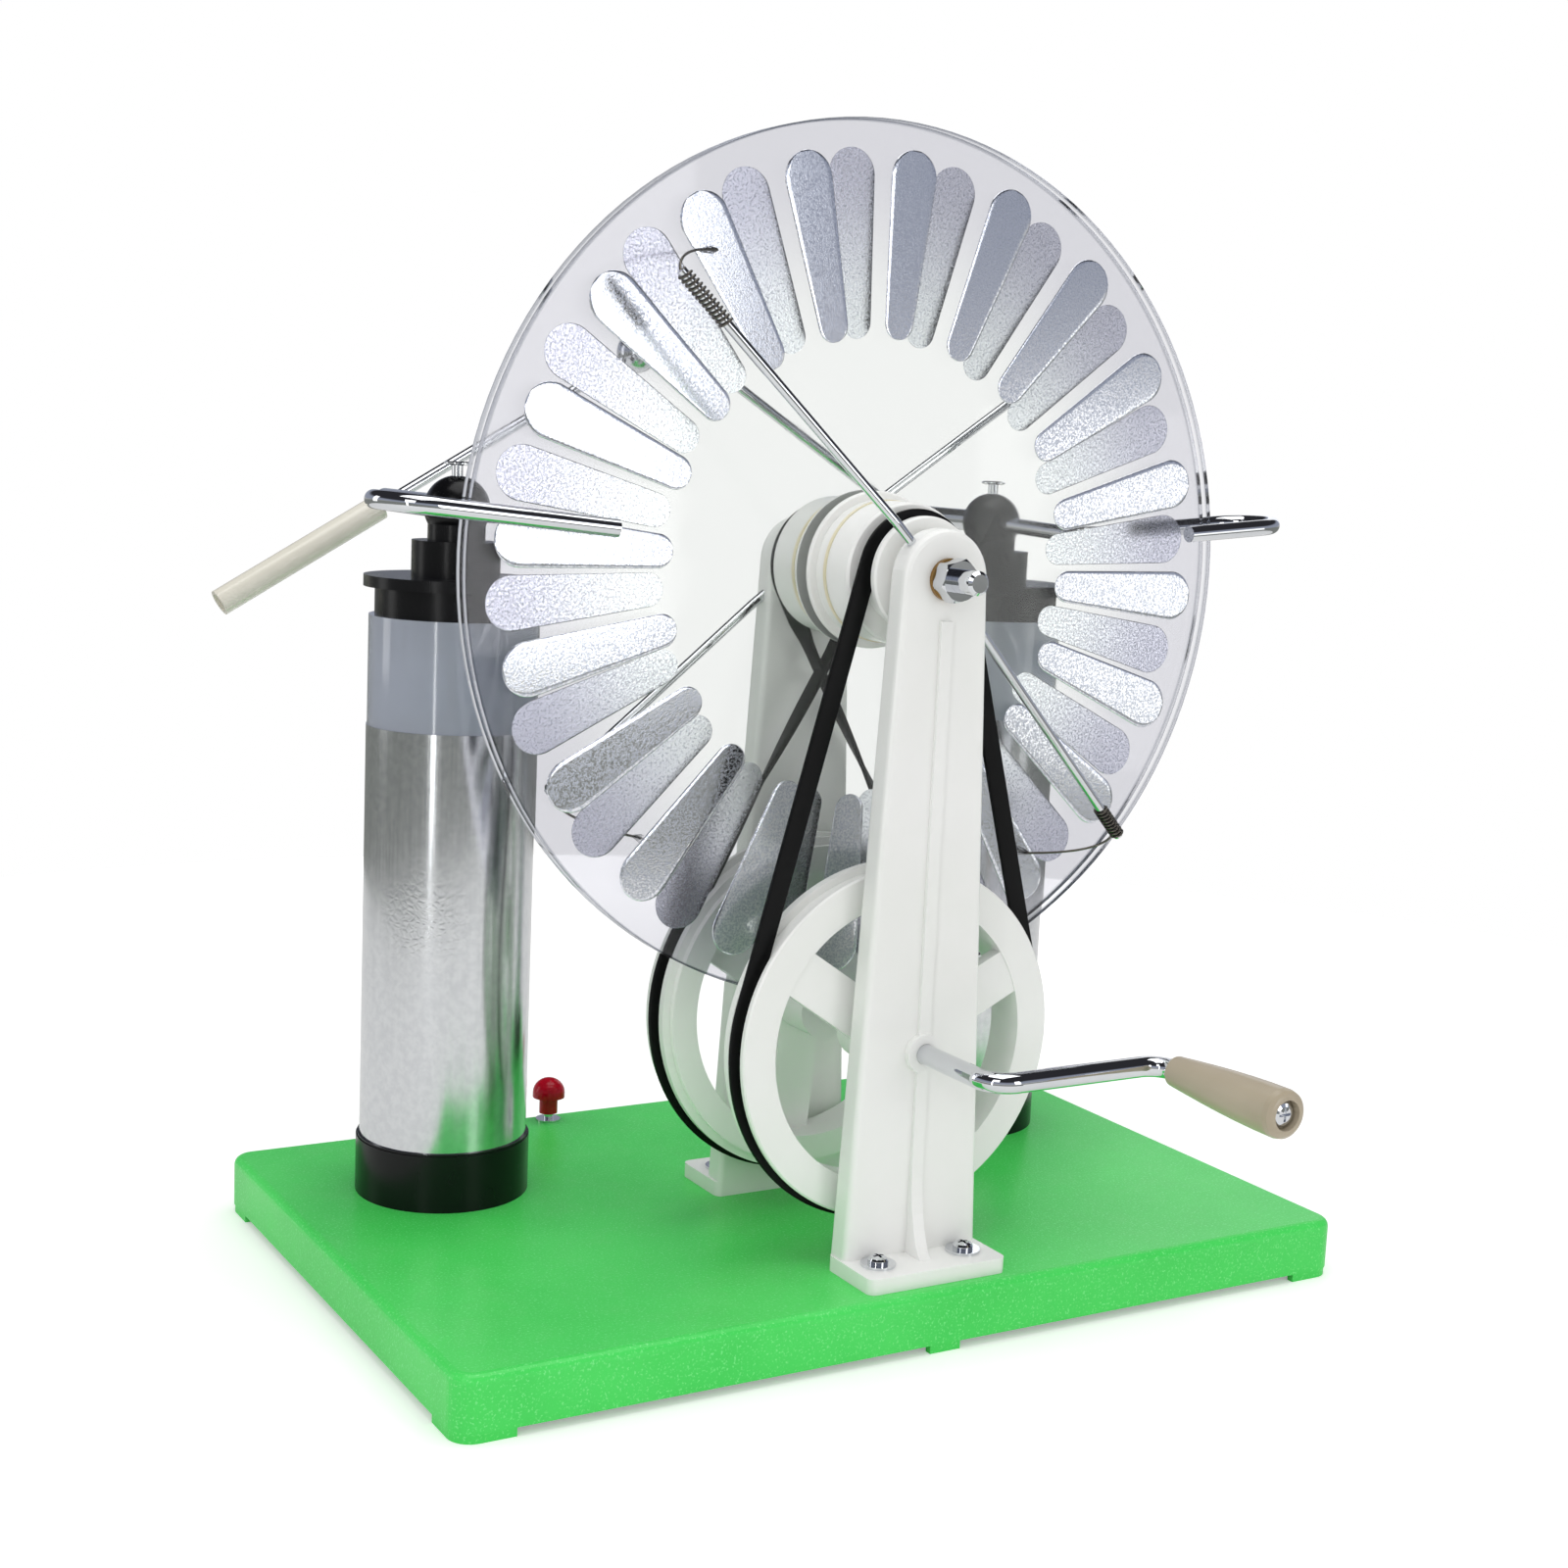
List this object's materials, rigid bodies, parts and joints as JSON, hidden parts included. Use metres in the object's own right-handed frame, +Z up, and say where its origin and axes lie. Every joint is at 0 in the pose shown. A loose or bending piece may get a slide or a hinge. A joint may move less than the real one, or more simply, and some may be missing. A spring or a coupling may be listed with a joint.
{
  "type": "hand-cranked electrostatic generator",
  "caption": "Hand-cranked influence machine with contra-rotating sectored discs, belt drive, charge jars and adjustable spark arms on a flat base.",
  "frame": {"origin": "middle of the base's underside, on the surface it stands on", "axes": "+X along the base to the right, +Y to the back, away from the crank, +Z up"},
  "size_m": [0.3654, 0.3185, 0.4062],
  "materials": {
    "base_green": "glossy moulded plastic with a fine hammered texture",
    "milky_plastic": "milky white moulded plastic, satin",
    "cream_plastic": "cream moulded plastic",
    "clear_acrylic": "clear, slightly milky acrylic sheet",
    "smoky_acrylic": "grey translucent acrylic tube",
    "sector_foil": "aluminium foil with a fine grain",
    "jar_foil": "mirror-like aluminium foil",
    "chrome": "bright chrome plate on steel",
    "brass": "dull brass",
    "brush_wire": "fine steel wire",
    "black_plastic": "black moulded plastic, satin",
    "belt_rubber": "black flat rubber belt",
    "beige_plastic": "beige moulded plastic, satin",
    "red_plastic": "red moulded plastic, glossy"
  },
  "bodies": {
    "base": {"base_plate": "base_green", "front_upright": "milky_plastic", "rear_upright": "milky_plastic", "upright_screws": "chrome", "upright_washers": "chrome", "axle_stud": "chrome", "axle_nuts": "chrome", "axle_spring_washers": "brass", "hub_washers": "brass", "disc_spacer": "chrome", "front_belt": "belt_rubber", "rear_belt": "belt_rubber", "front_neutralizer_rods": "chrome", "rear_neutralizer_rods": "chrome", "front_brushes": "brush_wire", "rear_brushes": "brush_wire", "jar_cups": "black_plastic", "jar_screws": "chrome", "left_jar_tube": "smoky_acrylic", "right_jar_tube": "smoky_acrylic", "left_outer_foil": "jar_foil", "right_outer_foil": "jar_foil", "inner_foils": "jar_foil", "centre_electrodes": "brass", "left_jar_lid": "black_plastic", "right_jar_lid": "black_plastic", "left_ball_head": "black_plastic", "right_ball_head": "black_plastic", "left_collector_fork": "chrome", "right_collector_fork": "chrome", "terminal_studs": "chrome", "terminal_washers": "chrome"},
    "crank": {"front_drive_wheel": "milky_plastic", "rear_drive_wheel": "milky_plastic", "wheel_set_screws": "chrome", "crank_rod": "chrome", "grip_screw": "chrome"},
    "grip": {"crank_grip": "beige_plastic"},
    "front_disc_assembly": {"front_disc": "clear_acrylic", "front_sectors": "sector_foil", "front_hub": "milky_plastic", "front_hub_ring": "cream_plastic"},
    "rear_disc_assembly": {"rear_disc": "clear_acrylic", "rear_sectors": "sector_foil", "rear_hub": "milky_plastic", "rear_hub_ring": "cream_plastic"},
    "left_arm": {"left_arm_support": "chrome", "left_discharge_rod": "chrome", "left_spark_ball": "chrome", "left_arm_handle": "milky_plastic"},
    "right_arm": {"right_arm_support": "chrome", "right_discharge_rod": "chrome", "right_spark_ball": "chrome", "right_arm_handle": "milky_plastic"},
    "left_clamp_screw": {"left_thumbscrew": "chrome"},
    "right_clamp_screw": {"right_thumbscrew": "chrome"},
    "left_terminal": {"left_terminal_knob": "red_plastic"},
    "right_terminal": {"right_terminal_knob": "red_plastic"}
  },
  "joints": [
    {"name": "crank_spin", "type": "hinge", "parent": "base", "child": "crank", "pos_m": [0, -0.12, 0.097], "axis": [0, -1, 0], "continuous": true},
    {"name": "front_disc_spin", "type": "hinge", "parent": "base", "child": "front_disc_assembly", "pos_m": [0, -0.0422, 0.2562], "axis": [0, -1, 0], "continuous": true},
    {"name": "rear_disc_spin", "type": "hinge", "parent": "base", "child": "rear_disc_assembly", "pos_m": [0, -0.0422, 0.2562], "axis": [0, -1, 0], "continuous": true},
    {"name": "grip_spin", "type": "hinge", "parent": "crank", "child": "grip", "pos_m": [0.068, -0.168, 0.097], "axis": [0, -1, 0], "continuous": true},
    {"name": "left_arm_tilt", "type": "hinge", "parent": "base", "child": "left_arm", "pos_m": [-0.115, 0.115, 0.27], "axis": [0, -1, 0], "range_deg": [-4, 50]},
    {"name": "right_arm_tilt", "type": "hinge", "parent": "base", "child": "right_arm", "pos_m": [0.115, 0.115, 0.27], "axis": [0, 1, 0], "range_deg": [-4, 50]},
    {"name": "left_clamp_screw_turn", "type": "hinge", "parent": "base", "child": "left_clamp_screw", "pos_m": [-0.115, 0.049, 0.282], "axis": [0, 0, 1], "range_deg": [0, 360]},
    {"name": "right_clamp_screw_turn", "type": "hinge", "parent": "base", "child": "right_clamp_screw", "pos_m": [0.115, 0.049, 0.282], "axis": [0, 0, 1], "range_deg": [0, 360]},
    {"name": "left_terminal_turn", "type": "hinge", "parent": "base", "child": "left_terminal", "pos_m": [-0.046, 0.107, 0.03], "axis": [0, 0, 1], "range_deg": [0, 360]},
    {"name": "right_terminal_turn", "type": "hinge", "parent": "base", "child": "right_terminal", "pos_m": [0.046, 0.107, 0.03], "axis": [0, 0, 1], "range_deg": [0, 360]}
  ],
  "couplings": [
    {"joint": "front_disc_spin", "follows": "crank_spin", "ratio": 3.2032},
    {"joint": "rear_disc_spin", "follows": "crank_spin", "ratio": -3.2032}
  ]
}
